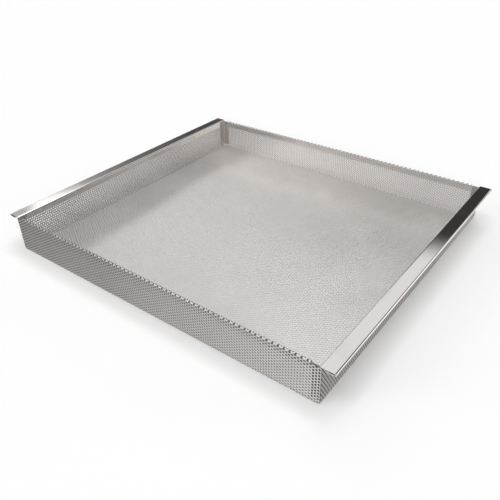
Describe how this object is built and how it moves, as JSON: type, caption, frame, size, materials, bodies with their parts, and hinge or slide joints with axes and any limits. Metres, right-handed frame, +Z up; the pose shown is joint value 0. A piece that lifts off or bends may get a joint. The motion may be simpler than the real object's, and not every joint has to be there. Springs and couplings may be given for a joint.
{
  "type": "perforated straining tray",
  "caption": "Shallow rectangular tray of perforated stainless steel, hemmed at front and back, with small corner angles and plain folded side rails that hang it in a tank.",
  "frame": {"origin": "centre of the tray's underside, at the bottom of the bounding box", "axes": "+X from the left rail to the right rail, +Y from the front hemmed wall to the back hemmed wall, +Z up"},
  "size_m": [0.521, 0.452, 0.0525],
  "materials": {
    "perforated_steel": "satin, mill finish",
    "rail_steel": "bright annealed, faintly brushed along its length",
    "angle_steel": "bright annealed"
  },
  "bodies": {
    "root": {"perforated_tray": "perforated_steel", "rail_left": "rail_steel", "rail_right": "rail_steel", "corner_angle_front_left": "angle_steel", "corner_angle_front_right": "angle_steel", "corner_angle_back_left": "angle_steel", "corner_angle_back_right": "angle_steel"}
  },
  "joints": []
}
